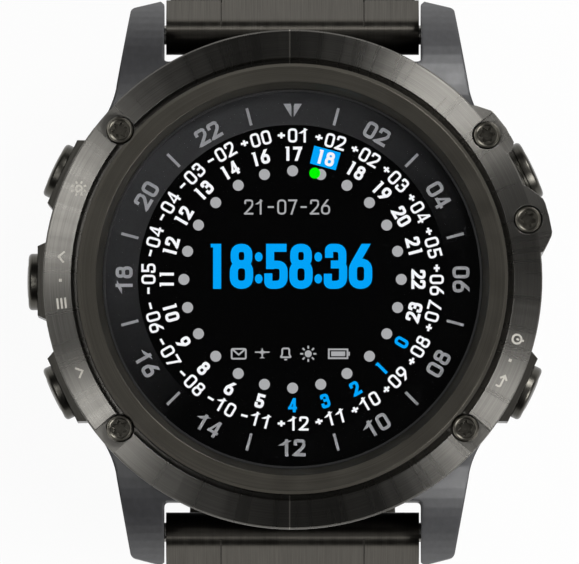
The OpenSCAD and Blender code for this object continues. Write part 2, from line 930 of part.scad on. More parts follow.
module middle_blade() {
    steel() difference() {
        union() {
            translate([0, hinge_y, blade_z]) cross_bar(blade_hinge_r, 2 * inner_ear_out);
            translate([0, -hinge_y, outer_blade_hinge_z]) cross_bar(outer_blade_hinge_r, blade_w);
            translate([-blade_w / 2, -hinge_y, middle_low]) cube([blade_w, 2 * hinge_y, middle_t]);
            translate([-blade_w / 2, -hinge_y - outer_blade_hinge_r, middle_low])
                cube([blade_w, outer_blade_hinge_r * 2, outer_blade_hinge_z - middle_low]);
        }
        translate([-slot_w / 2, -slot_len / 2, 0]) cube([slot_w, slot_len, far]);
        translate([0, hinge_y, blade_z]) cross_bar(hinge_pin_r + fit, far);
        translate([0, -hinge_y, outer_blade_hinge_z]) cross_bar(hinge_pin_r, far);
        translate([-knuckle_w / 2, -far / 2 - hinge_y + outer_blade_hinge_r + gap * 2, 0])
            cube([knuckle_w, far / 2, far]);
    }
}

module inner_blade_end() {
    translate([clasp_pin_y, pin_z]) circle(link_r);
    polygon([
        [blade_end_y - over, inner_low], [ear_root_y, inner_low], [clasp_pin_y, pin_z - link_r],
        [clasp_pin_y, pin_z + link_r], [blade_end_y - over, inner_low + inner_t]
    ]);
}

module inner_blade() {
    plate_from = -hinge_y + outer_blade_hinge_r + gap * 2;
    steel() difference() {
        union() {
            translate([0, -hinge_y, outer_blade_hinge_z])
                cross_bar(outer_blade_hinge_r, knuckle_w - 2 * gap);
            translate([-knuckle_w / 2 + gap, -hinge_y, inner_low - step])
                cube([knuckle_w - 2 * gap, outer_blade_hinge_r + over, inner_t + step]);
            translate([-blade_w / 2, plate_from, inner_low]) cube([blade_w, blade_end_y - plate_from, inner_t]);
            intersection() {
                across(clasp_w) inner_blade_end();
                both_sides() translate([ear_in, -far / 2, 0]) cube([inner_ear_out - ear_in, far, far]);
            }
        }
        translate([0, clasp_pin_y, pin_z]) cross_bar(pin_r + run, far);
        translate([0, -hinge_y, outer_blade_hinge_z]) cross_bar(hinge_pin_r + fit, far);
        translate([-slot_w / 2, -slot_len / 2, 0]) cube([slot_w, slot_len, far]);
    }
}

module clasp_pin() {
    steel() translate([0, hinge_y, blade_z]) cross_bar(hinge_pin_r, clasp_w - 2 * pin_inset);
}

module blade_pin() {
    steel() translate([0, -hinge_y, outer_blade_hinge_z]) cross_bar(hinge_pin_r, blade_w - 2 * pin_inset);
}

module pusher() {
    steel() translate([pusher_in, pusher_y, pusher_z]) rotate([0, 90, 0])
        cylinder(h = clasp_w / 2 + pusher_out - pusher_in, r = pusher_r);
}

module right_pusher() {
    pusher();
}

module left_pusher() {
    mirror([1, 0, 0]) pusher();
}

case_body();
back_cover();
back_screws();
back_gasket();
sensor_window();
sensor_board();
charge_contacts();
outer_bezel();
inner_bezel();
bezel_screws();
crystal();
crystal_gasket();
hour_ring();
display_panel();
module_frame();
main_board();
battery();
vibration_motor();
lug_bars();
button_collars();
button_seals();
button_switches();
light_button();
up_button();
down_button();
start_button();
back_button();
upper_end_link();
lower_end_link();
upper_latch();
lower_latch();
upper_link(1);  // upper_link_1
upper_link(2);  // upper_link_2
upper_link(3);  // upper_link_3
upper_link(4);  // upper_link_4
upper_last_link();  // upper_link_5
lower_link(1);  // lower_link_1
lower_link(2);  // lower_link_2
lower_link(3);  // lower_link_3
lower_link(4);  // lower_link_4
lower_link(5);  // lower_link_5
upper_pin(1);  // upper_pin_1
upper_pin(2);  // upper_pin_2
upper_pin(3);  // upper_pin_3
upper_pin(4);  // upper_pin_4
upper_pin(5);  // upper_pin_5
upper_spring_bar();
lower_pin(1);  // lower_pin_1
lower_pin(2);  // lower_pin_2
lower_pin(3);  // lower_pin_3
lower_pin(4);  // lower_pin_4
lower_pin(5);  // lower_pin_5
lower_spring_bar();
clasp_cover();
middle_blade();
inner_blade();
clasp_pin();
blade_pin();
left_pusher();
right_pusher();
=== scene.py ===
import math

import bmesh
import bpy
from mathutils import Matrix, Vector


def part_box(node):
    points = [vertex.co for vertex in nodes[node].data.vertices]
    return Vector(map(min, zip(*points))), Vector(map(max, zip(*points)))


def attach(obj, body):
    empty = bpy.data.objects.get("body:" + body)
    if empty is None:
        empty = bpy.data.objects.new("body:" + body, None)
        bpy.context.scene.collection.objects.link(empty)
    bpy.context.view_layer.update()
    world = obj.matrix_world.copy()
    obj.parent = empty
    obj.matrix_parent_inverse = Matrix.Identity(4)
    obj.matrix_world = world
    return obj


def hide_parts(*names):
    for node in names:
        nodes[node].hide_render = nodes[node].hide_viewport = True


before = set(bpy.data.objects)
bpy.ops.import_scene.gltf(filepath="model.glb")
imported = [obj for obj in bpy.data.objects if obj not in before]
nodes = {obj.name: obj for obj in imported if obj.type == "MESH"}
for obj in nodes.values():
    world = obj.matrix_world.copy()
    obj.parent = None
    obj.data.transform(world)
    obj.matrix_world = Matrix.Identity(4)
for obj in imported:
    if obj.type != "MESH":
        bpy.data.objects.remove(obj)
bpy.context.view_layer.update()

# A pilot's wristwatch with a world time screen. Sizes are in millimetres unless a line says otherwise.
mm = 0.001
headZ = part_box("back_cover")[0][2] / mm  # flat of the back cover: heights in the head start here


# Angles round the dial are counted from 3 o'clock towards 12
def polar(radius, angle):
    return radius * math.cos(math.radians(angle)), radius * math.sin(math.radians(angle))


# Camera

photo = {
    "widthPx": 579, "heightPx": 564,
    "pxPerMm": 9.8,
    "dialX": 292.6, "dialY": 279.0,  # middle of the bezel in the photograph, in pixels
    "tilt": 2.15,  # degrees towards 6 o'clock
    "distance": 1500,
    "faceHeight": 15.1,  # the bezel's brushed face, above the back
    "sensor": 36,
    "clipEnd": 10000,
}


def makeCamera():
    data = bpy.data.cameras.new("photoCamera")
    camera = bpy.data.objects.new("photoCamera", data)
    bpy.context.scene.collection.objects.link(camera)
    tilt = math.radians(photo["tilt"])
    aside = (photo["widthPx"] / 2 - photo["dialX"]) / photo["pxPerMm"]
    above = (photo["dialY"] - photo["heightPx"] / 2) / photo["pxPerMm"]
    aim = Vector((aside, above, headZ + photo["faceHeight"])) * mm
    back = Vector((0, -math.sin(tilt), math.cos(tilt)))
    camera.location = aim + back * photo["distance"] * mm
    camera.rotation_euler = (tilt, 0, 0)
    data.sensor_width = photo["sensor"]
    data.lens = photo["sensor"] * photo["distance"] * photo["pxPerMm"] / photo["widthPx"]
    data.clip_end = photo["clipEnd"] * mm
    bpy.context.scene.camera = camera


makeCamera()
print("camera is set")


# Material tools

noiseSpan = {"From Min": 0.3, "From Max": 0.7}  # nearly all of a noise lies between these
fullSpan = {"From Min": 0.0, "From Max": 1.0}  # for a softer change
acrossTheLines = 0.25  # a quarter turn: the highlight spreads across the scratches


def toLinear(hexColour):
    parts = [int(hexColour[i:i + 2], 16) / 255 for i in (1, 3, 5)]
    line = [c / 12.92 if c <= 0.04045 else ((c + 0.055) / 1.055) ** 2.4 for c in parts]
    return (*line, 1.0)


def addNode(tree, kind, settings=None, links=None):
    node = tree.nodes.new(kind)
    for name, value in (settings or {}).items():
        if isinstance(name, str) and hasattr(node, name):
            setattr(node, name, value)
        else:
            node.inputs[name].default_value = value
    for name, source in (links or {}).items():
        tree.links.new(source, node.inputs[name])
    return node


def newMaterial(name):
    material = bpy.data.materials.new(name)
    material.use_nodes = True
    material.node_tree.nodes.clear()
    return material, material.node_tree


def finishMaterial(tree, shader):
    addNode(tree, "ShaderNodeOutputMaterial", links={"Surface": shader.outputs[0]})


def finishSurface(tree, settings, links):
    finishMaterial(tree, addNode(tree, "ShaderNodeBsdfPrincipled", settings, links))


# Object coordinates in which one unit is the given number of millimetres along each axis
def stretched(tree, x, y=None, z=None):
    place = addNode(tree, "ShaderNodeTexCoord")
    scales = tuple(1 / (size * mm) for size in (x, y or x, z or x))
    mapping = addNode(tree, "ShaderNodeMapping", {"Scale": scales}, {"Vector": place.outputs["Object"]})
    return mapping.outputs[0]


# Object coordinates one by one, in metres
def alongAxes(tree):
    place = addNode(tree, "ShaderNodeTexCoord")
    return addNode(tree, "ShaderNodeSeparateXYZ", links={0: place.outputs["Object"]}).outputs


# The way from the Z axis, without the height
def fromTheAxis(tree, parts):
    return addNode(tree, "ShaderNodeCombineXYZ", links={"X": parts["X"], "Y": parts["Y"]}).outputs[0]


# Coordinates for marks that run round the Z axis: one unit is lineLength round it and lineWidth across
def roundTheAxis(tree, lineWidth, lineLength, atRadius):
    parts = alongAxes(tree)
    flat = fromTheAxis(tree, parts)
    radius = addNode(tree, "ShaderNodeVectorMath", {"operation": "LENGTH"}, {0: flat})
    around = addNode(tree, "ShaderNodeVectorMath", {"operation": "NORMALIZE"}, {0: flat})
    turn = addNode(tree, "ShaderNodeVectorMath", {"operation": "SCALE", "Scale": atRadius / lineLength},
                   {0: around.outputs[0]})
    out = addNode(tree, "ShaderNodeMath", {"operation": "ADD"}, {0: radius.outputs["Value"], 1: parts["Z"]})
    lines = addNode(tree, "ShaderNodeMath", {"operation": "MULTIPLY", 1: 1 / (lineWidth * mm)},
                    {0: out.outputs[0]})
    lift = addNode(tree, "ShaderNodeCombineXYZ", links={"Z": lines.outputs[0]})
    both = addNode(tree, "ShaderNodeVectorMath", {"operation": "ADD"},
                   {0: turn.outputs[0], 1: lift.outputs[0]})
    return both.outputs[0]


# Two colours mixed by a noise
def mottled(tree, vector, dark, light):
    noise = addNode(tree, "ShaderNodeTexNoise", {"Scale": 1, "Detail": 3}, {"Vector": vector})
    share = addNode(tree, "ShaderNodeMapRange", noiseSpan, {"Value": noise.outputs[0]})
    return addNode(tree, "ShaderNodeMixRGB", {"Color1": toLinear(dark), "Color2": toLinear(light)},
                   {"Fac": share.outputs[0]}).outputs[0]


# A roughness that a noise moves between two limits
def uneven(tree, vector, least, most, span=fullSpan, detail=2):
    noise = addNode(tree, "ShaderNodeTexNoise", {"Scale": 1, "Detail": detail}, {"Vector": vector})
    return addNode(tree, "ShaderNodeMapRange", {**span, "To Min": least, "To Max": most},
                   {"Value": noise.outputs[0]}).outputs[0]


# The normal of a face with a noise in it and with its edges softened
def worked(tree, vector, depth, edge, strength=1.0, samples=4):
    noise = addNode(tree, "ShaderNodeTexNoise", {"Scale": 1, "Detail": 3}, {"Vector": vector})
    soft = addNode(tree, "ShaderNodeBevel", {"samples": samples, "Radius": edge * mm})
    return addNode(tree, "ShaderNodeBump", {"Strength": strength, "Distance": depth * mm},
                   {"Height": noise.outputs[0], "Normal": soft.outputs[0]}).outputs[0]


# Titanium with a hard carbon coating, brushed round the dial: the light fans out over the ring and fine lines
# run round it. Real scratches are too fine to show, so these and the ones below are drawn coarser.

brushedRing = {
    "dark": "#696763", "light": "#7F7D78",  # carbon grey with a warm cast
    "radius": 24,
    "lineWidth": 0.05, "lineLength": 9.0,  # one scratch
    "fanWide": 0.9, "fanLong": 60,  # one ray of the sheen, round the ring and across it
    "smoothest": 0.26, "roughest": 0.31, "anisotropy": 0.85,
    "depth": 0.0006, "strength": 0.4, "edge": 0.07,
    "cutX": -0.3, "cutHalf": 0.055, "cutDepth": 0.05, "cutStrength": 0.6, "cutColour": "#C9C5BC",
}


def makeTitaniumRing():
    material, tree = newMaterial("titaniumBrushedRound")
    b = brushedRing
    lines = roundTheAxis(tree, b["lineWidth"], b["lineLength"], b["radius"])
    fans = roundTheAxis(tree, b["fanLong"], b["fanWide"], b["radius"])
    colour = mottled(tree, lines, b["dark"], b["light"])
    rough = uneven(tree, fans, b["smoothest"], b["roughest"], noiseSpan)
    # the line cut across the ring at 12 and at 6
    onCut = addNode(tree, "ShaderNodeMath", {"operation": "COMPARE", 1: b["cutX"] * mm, 2: b["cutHalf"] * mm},
                    {0: alongAxes(tree)["X"]})
    height = addNode(tree, "ShaderNodeMath", {"operation": "MULTIPLY", 1: -1.0}, {0: onCut.outputs[0]})
    marked = addNode(tree, "ShaderNodeMixRGB", {"Color2": toLinear(b["cutColour"])},
                     {"Fac": onCut.outputs[0], "Color1": colour})
    tangent = addNode(tree, "ShaderNodeTangent", {"direction_type": "RADIAL", "axis": "Z"})
    normal = worked(tree, lines, b["depth"], b["edge"], b["strength"])
    cut = addNode(tree, "ShaderNodeBump", {"Strength": b["cutStrength"], "Distance": b["cutDepth"] * mm},
                  {"Height": height.outputs[0], "Normal": normal})
    finishSurface(tree,
                  {"Metallic": 1.0, "Anisotropic": b["anisotropy"], "Anisotropic Rotation": acrossTheLines},
                  {"Base Color": marked.outputs[0], "Roughness": rough, "Normal": cut.outputs[0],
                   "Tangent": tangent.outputs[0]})
    return material


# The same brushed along the bracelet: streaks run from link to link and the light spreads across them.
# Nearer to the dial than paintedShadeTo, the end links get painted shade: their colour darkens where the real
# links lie in the case's shade. The other pieces' 0 leaves a faint line of it across the clasp.

brushedLink = {
    "dark": "#4F4C47", "light": "#5F5C56",
    "lineWidth": 0.06, "lineLength": 7.0,  # one scratch
    "bandWidth": 0.7, "bandLength": 12.0,  # one streak of the sheen
    "smoothest": 0.32, "roughest": 0.44, "anisotropy": 0.7,
    "depth": 0.0015, "strength": 0.5, "edge": 0.12,
    "paintedShadeTo": 26.1, "paintedShadeFade": 0.1, "paintedShadeShare": 0.8, "paintedShadeColour": "#12110F",
}


def makeTitaniumLinks(name, paintedShadeTo=0):
    material, tree = newMaterial(name)
    b = brushedLink
    lines = stretched(tree, b["lineWidth"], b["lineLength"], b["lineLength"])
    bands = stretched(tree, b["bandWidth"], b["bandLength"], b["bandLength"])
    colour = mottled(tree, lines, b["dark"], b["light"])
    rough = uneven(tree, bands, b["smoothest"], b["roughest"], noiseSpan)
    # painted shade: the colour turns dark nearer to the dial than the given distance
    away = addNode(tree, "ShaderNodeMath", {"operation": "ABSOLUTE"}, {0: alongAxes(tree)["Y"]})
    share = addNode(tree, "ShaderNodeMapRange",
                    {"From Min": (paintedShadeTo + b["paintedShadeFade"]) * mm,
                     "From Max": (paintedShadeTo - b["paintedShadeFade"]) * mm, "To Max": b["paintedShadeShare"]},
                    {"Value": away.outputs[0]})
    colour = addNode(tree, "ShaderNodeMixRGB", {"Color2": toLinear(b["paintedShadeColour"])},
                     {"Fac": share.outputs[0], "Color1": colour}).outputs[0]
    tangent = addNode(tree, "ShaderNodeTangent", {"direction_type": "RADIAL", "axis": "X"})
    normal = worked(tree, lines, b["depth"], b["edge"], b["strength"])
    finishSurface(tree,
                  {"Metallic": 1.0, "Anisotropic": b["anisotropy"], "Anisotropic Rotation": acrossTheLines},
                  {"Base Color": colour, "Roughness": rough, "Normal": normal, "Tangent": tangent.outputs[0]})
    return material


# The same lapped, then polished or blasted: an even sheen with faint turning lines

lapped = {
    "lineWidth": 0.08, "lineLength": 14.0, "radius": 21,
    "cloud": 3, "spread": 0.05,  # how far the roughness wanders, and over what distance
    "depth": 0.0006, "strength": 0.4, "edge": 0.1,
}


def makeTitaniumLapped(name, dark, light, roughness):
    material, tree = newMaterial(name)
    b = lapped
    lines = roundTheAxis(tree, b["lineWidth"], b["lineLength"], b["radius"])
    colour = mottled(tree, lines, dark, light)
    rough = uneven(tree, stretched(tree, b["cloud"]), roughness - b["spread"], roughness + b["spread"])
    normal = worked(tree, lines, b["depth"], b["edge"], b["strength"])
    finishSurface(tree, {"Metallic": 1.0}, {"Base Color": colour, "Roughness": rough, "Normal": normal})
    return material


# Metal turned on a lathe and blasted: rings round the piece's own axis under a soft satin sheen

latheWork = {
    "lineWidth": 0.07, "lineLength": 6.0, "radius": 2, "depth": 0.002, "strength": 0.6, "edge": 0.05,
    "grit": 0.08, "gritDepth": 0.003, "gritStrength": 0.3,
}


def makeTurned(name, dark, light, roughness):
    material, tree = newMaterial(name)
    b = latheWork
    lines = roundTheAxis(tree, b["lineWidth"], b["lineLength"], b["radius"])
    colour = mottled(tree, lines, dark, light)
    normal = worked(tree, lines, b["depth"], b["edge"], b["strength"])
    blasted = addNode(tree, "ShaderNodeTexNoise", {"Scale": 1, "Detail": 2},
                      {"Vector": stretched(tree, b["grit"])})
    bump = addNode(tree, "ShaderNodeBump", {"Strength": b["gritStrength"], "Distance": b["gritDepth"] * mm},
                   {"Height": blasted.outputs[0], "Normal": normal})
    finishSurface(tree, {"Metallic": 1.0, "Roughness": roughness},
                  {"Base Color": colour, "Normal": bump.outputs[0]})
    return material


# Glass fibre polyamide, moulded: a soft dark sheen over a faint cloud of fibres. crown is the slope with
# which its faces fall away from the middle of the watch, so the lugs on the lit side read paler.

moulded = {
    "grain": 0.12, "depth": 0.002, "strength": 0.4, "edge": 0.4, "edgeSamples": 8,
    "fibreAcross": 0.5, "fibreAlong": 0.9,
    "cloud": 1.5, "spread": 0.06,
    "ior": 1.53, "specular": 0.8,
}


def makePolymer(name, dark, light, roughness, crown=0):
    material, tree = newMaterial(name)
    b = moulded
    fibres = stretched(tree, b["fibreAcross"], b["fibreAlong"], b["fibreAcross"])
    colour = mottled(tree, fibres, dark, light)
    normal = worked(tree, stretched(tree, b["grain"]), b["depth"], b["edge"], b["strength"], b["edgeSamples"])
    away = addNode(tree, "ShaderNodeMath", {"operation": "ABSOLUTE"}, {0: alongAxes(tree)["X"]})
    fall = addNode(tree, "ShaderNodeMath", {"operation": "MULTIPLY", 1: -crown}, {0: away.outputs[0]})
    crowned = addNode(tree, "ShaderNodeBump", {"Strength": 1.0, "Distance": 1.0},
                      {"Height": fall.outputs[0], "Normal": normal})
    rough = uneven(tree, stretched(tree, b["cloud"]), roughness - b["spread"], roughness + b["spread"],
                   detail=3)
    finishSurface(tree, {"IOR": b["ior"], "Specular IOR Level": b["specular"]},
                  {"Base Color": colour, "Roughness": rough, "Normal": crowned.outputs[0]})
    return material


# Silicone, pressed: matt black that takes no clear reflection

silicone = {"dark": "#0C0C0C", "light": "#161616", "cloud": 1, "grain": 0.1, "depth": 0.006, "edge": 0.1,
            "roughness": 0.75, "ior": 1.41}


def makeRubber():
    material, tree = newMaterial("siliconePressed")
    b = silicone
    normal = worked(tree, stretched(tree, b["grain"]), b["depth"], b["edge"])
    colour = mottled(tree, stretched(tree, b["cloud"]), b["dark"], b["light"])
    finishSurface(tree, {"Roughness": b["roughness"], "IOR": b["ior"]},
                  {"Base Color": colour, "Normal": normal})
    return material


# Sapphire with an anti-reflective coating: clear, with only a faint cool reflection

coatedSapphire = {"tint": "#FBFCFF", "haze": 4, "roughest": 0.02, "ior": 1.3}  # coated, so it reflects less


def makeSapphire():
    material, tree = newMaterial("sapphireCoated")
    b = coatedSapphire
    rough = uneven(tree, stretched(tree, b["haze"]), 0.0, b["roughest"], detail=3)
    glass = addNode(tree, "ShaderNodeBsdfPrincipled",
                    {"Base Color": toLinear(b["tint"]), "Transmission Weight": 1.0, "IOR": b["ior"]},
                    {"Roughness": rough})
    clear = addNode(tree, "ShaderNodeBsdfTransparent")
    ray = addNode(tree, "ShaderNodeLightPath")
    finishMaterial(tree, addNode(tree, "ShaderNodeMixShader", links={
        0: ray.outputs["Is Shadow Ray"], 1: glass.outputs[0], 2: clear.outputs[0]}))
    return material


# Reflective colour screen: black glass with a faint grid of pixels, and lit ones in flat even colour as
# painted glow: they emit their colour, though the screen only reflects light

pixels = {
    "pitch": 0.127, "line": 0.08,  # the line between two pixels, as a share of the pitch
    "lineShade": 0.86,
    "black": "#010101", "blackLine": "#020202", "roughness": 0.12, "ior": 1.15,  # bonded to the glass above
}


def pixelGrid(tree, colour, line):
    return addNode(tree, "ShaderNodeTexBrick",
                   {"offset": 0.0, "Scale": 1.0, "Color1": colour, "Color2": colour, "Mortar": line,
                    "Mortar Size": pixels["line"], "Brick Width": 1.0, "Row Height": 1.0},
                   {"Vector": stretched(tree, pixels["pitch"])}).outputs[0]


def makeScreen():
    material, tree = newMaterial("screenGlassBlack")
    grid = pixelGrid(tree, toLinear(pixels["black"]), toLinear(pixels["blackLine"]))
    finishSurface(tree, {"Roughness": pixels["roughness"], "IOR": pixels["ior"]}, {"Base Color": grid})
    return material


def makePixels(name, colour):
    material, tree = newMaterial(name)
    lit = toLinear(colour)
    dim = (*(c * pixels["lineShade"] for c in lit[:3]), 1.0)
    grid = pixelGrid(tree, lit, dim)
    # painted glow: the lit pixels give out their own light, in place of the light a reflective screen sends
    # back
    finishMaterial(tree, addNode(tree, "ShaderNodeEmission", {"Strength": 1.0}, {"Color": grid}))
    return material


# Lacquer on brass: black, with a painted sheen in its colour, a soft grey that stands in for reflected light
# and is palest near 11 o'clock

paintedSheenLacquer = {
    "black": "#010101", "dark": "#202020", "light": "#262626", "cloud": 0.15,
    "paintedSheenAt": 120, "paintedSheenFrom": -0.35,  # angle, and the cosine of how far from it the painted sheen starts
    "grain": 0.2, "depth": 0.001, "strength": 0.4, "edge": 0.05,
    "roughness": 0.2, "ior": 1.12,  # the glass above takes most of the reflection
}


def makeLacquer():
    material, tree = newMaterial("lacquerPaintedSheen")
    b = paintedSheenLacquer
    # painted sheen: grey that the mask below lays over the black, palest towards 11 o'clock, in place of a
    # reflection
    paintedSheen = mottled(tree, stretched(tree, b["cloud"]), b["dark"], b["light"])
    around = addNode(tree, "ShaderNodeVectorMath", {"operation": "NORMALIZE"},
                     {0: fromTheAxis(tree, alongAxes(tree))})
    way = (*polar(1, b["paintedSheenAt"]), 0)
    near = addNode(tree, "ShaderNodeVectorMath", {"operation": "DOT_PRODUCT", 1: way}, {0: around.outputs[0]})
    share = addNode(tree, "ShaderNodeMapRange", {"From Min": b["paintedSheenFrom"], "From Max": 1.0},
                    {"Value": near.outputs["Value"]})
    colour = addNode(tree, "ShaderNodeMixRGB", {"Color1": toLinear(b["black"])},
                     {"Fac": share.outputs[0], "Color2": paintedSheen})
    normal = worked(tree, stretched(tree, b["grain"]), b["depth"], b["edge"], b["strength"])
    finishSurface(tree, {"Roughness": b["roughness"], "IOR": b["ior"]},
                  {"Base Color": colour.outputs[0], "Normal": normal})
    return material


# Ink, pad printed, or a laser's mark in the metal: flat colour, a little uneven

ink = {"cloud": 0.25, "ior": 1.5}


def makeInk(name, dark, light, roughness):
    material, tree = newMaterial(name)
    colour = mottled(tree, stretched(tree, ink["cloud"]), dark, light)
    finishSurface(tree, {"Roughness": roughness, "IOR": ink["ior"]}, {"Base Color": colour})
    return material


# Tinted glass over the heart rate sensor: near black, with the lamps and the ring of the optics just visible

optics = {
    "dark": "#060607", "light": "#0A0A0C", "cloud": 2,
    "rimR": 7.6, "rimHalf": 0.25, "rim": "#3A3B3E",
    "lampX": 4.2, "lampHalf": 0.8, "lampHigh": 1.1, "lamp": "#3F5A2C",
    "cellWide": 1.4, "cellHigh": 1.7, "cell": "#26242E",  # half sizes
    "roughness": 0.06, "ior": 1.52, "coat": 0.5,
}


def makeWindow():
    material, tree = newMaterial("tintedGlassMoulded")
    b = optics
    parts = alongAxes(tree)
    radius = addNode(tree, "ShaderNodeVectorMath", {"operation": "LENGTH"}, {0: fromTheAxis(tree, parts)})
    rim = addNode(tree, "ShaderNodeMath", {"operation": "COMPARE", 1: b["rimR"] * mm, 2: b["rimHalf"] * mm},
                  {0: radius.outputs["Value"]})
    sideX, sideY = (addNode(tree, "ShaderNodeMath", {"operation": "ABSOLUTE"}, {0: parts[axis]}).outputs[0]
                    for axis in "XY")
    lampX = addNode(tree, "ShaderNodeMath",
                    {"operation": "COMPARE", 1: b["lampX"] * mm, 2: b["lampHalf"] * mm}, {0: sideX})
    lampY = addNode(tree, "ShaderNodeMath", {"operation": "LESS_THAN", 1: b["lampHigh"] * mm}, {0: sideY})
    cellX = addNode(tree, "ShaderNodeMath", {"operation": "LESS_THAN", 1: b["cellWide"] * mm}, {0: sideX})
    cellY = addNode(tree, "ShaderNodeMath", {"operation": "LESS_THAN", 1: b["cellHigh"] * mm}, {0: sideY})
    lamp, cell = (
        addNode(tree, "ShaderNodeMath", {"operation": "MULTIPLY"}, {0: x.outputs[0], 1: y.outputs[0]})
        for x, y in ((lampX, lampY), (cellX, cellY)))
    colour = mottled(tree, stretched(tree, b["cloud"]), b["dark"], b["light"])
    for share, paint in ((rim, b["rim"]), (lamp, b["lamp"]), (cell, b["cell"])):
        colour = addNode(tree, "ShaderNodeMixRGB", {"Color2": toLinear(paint)},
                         {"Fac": share.outputs[0], "Color1": colour}).outputs[0]
    finishSurface(tree, {"Roughness": b["roughness"], "IOR": b["ior"], "Coat Weight": b["coat"]},
                  {"Base Color": colour})
    return material


# Glass fibre board under green mask: parts stand dark on it, tracks show as paler lines

board = {
    "mask": "#0F4A2A", "maskDark": "#0B3D23", "track": "#2F7A4C", "trackShare": 0.06,
    "unit": 0.9, "length": 2.0, "width": 0.6,  # places between tracks, in units
    "parts": "#1A1A1C", "above": 0.02,
    "mainTop": 11.2, "sensorTop": 3.0,  # above the back
    "roughness": 0.4, "ior": 1.55,
}


def makeBoard(name, top):
    material, tree = newMaterial(name)
    b = board
    tracks = addNode(tree, "ShaderNodeTexBrick",
                     {"Scale": 1.0, "Color1": toLinear(b["mask"]), "Color2": toLinear(b["maskDark"]),
                      "Mortar": toLinear(b["track"]), "Mortar Size": b["trackShare"],
                      "Brick Width": b["length"], "Row Height": b["width"]},
                     {"Vector": stretched(tree, b["unit"])})
    part = addNode(tree, "ShaderNodeMath", {"operation": "GREATER_THAN", 1: (headZ + top + b["above"]) * mm},
                   {0: alongAxes(tree)["Z"]})
    colour = addNode(tree, "ShaderNodeMixRGB", {"Color2": toLinear(b["parts"])},
                     {"Fac": part.outputs[0], "Color1": tracks.outputs[0]})
    finishSurface(tree, {"Roughness": b["roughness"], "IOR": b["ior"]}, {"Base Color": colour.outputs[0]})
    return material


# Aluminium laminate pouch, pressed: bright crinkled foil

pouch = {"dark": "#9FA1A4", "light": "#C3C5C8", "crinkle": 1.6, "depth": 0.03, "edge": 0.3, "roughness": 0.32}


def makeFoil():
    material, tree = newMaterial("aluminiumPouch")
    crinkle = stretched(tree, pouch["crinkle"])
    colour = mottled(tree, crinkle, pouch["dark"], pouch["light"])
    normal = worked(tree, crinkle, pouch["depth"], pouch["edge"])
    finishSurface(tree, {"Metallic": 1.0, "Roughness": pouch["roughness"]},
                  {"Base Color": colour, "Normal": normal})
    return material


# Name, darker and paler colour, roughness
ringTitanium = makeTitaniumRing()
linkTitanium = makeTitaniumLinks("titaniumBrushedLengthwise")
endLinkTitanium = makeTitaniumLinks("titaniumBrushedEnd", brushedLink["paintedShadeTo"])
polishedTitanium = makeTitaniumLapped("titaniumPolished", "#4F4C46", "#5C5952", 0.34)
backTitanium = makeTitaniumLapped("titaniumBlasted", "#8C8983", "#9D9A94", 0.45)
capTitanium = makeTurned("titaniumTurned", "#4B4944", "#5C5A54", 0.32)
screwSteel = makeTurned("steelBlackened", "#5A5750", "#6C6961", 0.28)
pinSteel = makeTurned("steelGround", "#9A9894", "#B5B3AF", 0.25)
collarSteel = makeTurned("steelBlackenedDark", "#4E4C48", "#5E5C57", 0.38)
switchNickel = makeTurned("nickelSilverPressed", "#A9A698", "#C2BFB1", 0.35)
contactGold = makeTurned("goldPlated", "#C9A24C", "#E2BE6C", 0.22)
casePolymer = makePolymer("polyamideMoulded", "#363638", "#3F3F42", 0.44, crown=0.2)
innerPolymer = makePolymer("polyamideMouldedBlack", "#1C1C1E", "#262628", 0.5)
ringInk = makeInk("inkPadPrintedGrey", "#616161", "#6D6D6D", 0.6)
engraved = makeInk("titaniumLaserMarked", "#B8B4AB", "#CAC6BD", 0.7)
rubber = makeRubber()
sapphire = makeSapphire()
screenGlass = makeScreen()
lacquer = makeLacquer()
windowGlass = makeWindow()
foil = makeFoil()
mainBoardMask = makeBoard("boardGreenMask", board["mainTop"])
sensorBoardMask = makeBoard("boardGreenMaskSmall", board["sensorTop"])
whitePixels = makePixels("pixelsWhite", "#FFFFFF")
greyPixels = makePixels("pixelsGrey", "#B0B0B0")
bluePixels = makePixels("pixelsBlue", "#00AAFF")
greenPixels = makePixels("pixelsGreen", "#00FF00")
print("materials are made")


# Finishes of the CAD's own pieces

finishes = {
    "case_body": casePolymer, "back_cover": backTitanium, "back_screws": screwSteel, "back_gasket": rubber,
    "sensor_window": windowGlass, "sensor_board": sensorBoardMask, "charge_contacts": contactGold,
    "outer_bezel": ringTitanium, "inner_bezel": polishedTitanium, "bezel_screws": screwSteel,
    "crystal": sapphire, "crystal_gasket": rubber, "hour_ring": lacquer, "display_panel": screenGlass,
    "module_frame": innerPolymer, "main_board": mainBoardMask, "battery": foil,
    "vibration_motor": switchNickel, "button_collars": collarSteel, "button_seals": rubber,
    "button_switches": switchNickel, "lug_bars": pinSteel,
    "upper_end_link": endLinkTitanium, "lower_end_link": endLinkTitanium,
    "upper_latch": pinSteel, "lower_latch": pinSteel,
    "left_pusher": capTitanium, "right_pusher": capTitanium,
}
for name, node in nodes.items():
    finish = finishes.get(name)
    if finish is None and name.endswith("_button"):
        finish = capTitanium
    if finish is None and ("_pin" in name or "_bar" in name):
        finish = pinSteel
    node.data.materials.clear()
    node.data.materials.append(finish or linkTitanium)
print("finishes are on", len(nodes), "nodes")


# Mesh tools

weldWithin, sliverWithin = 1e-8, 1e-9  # in metres


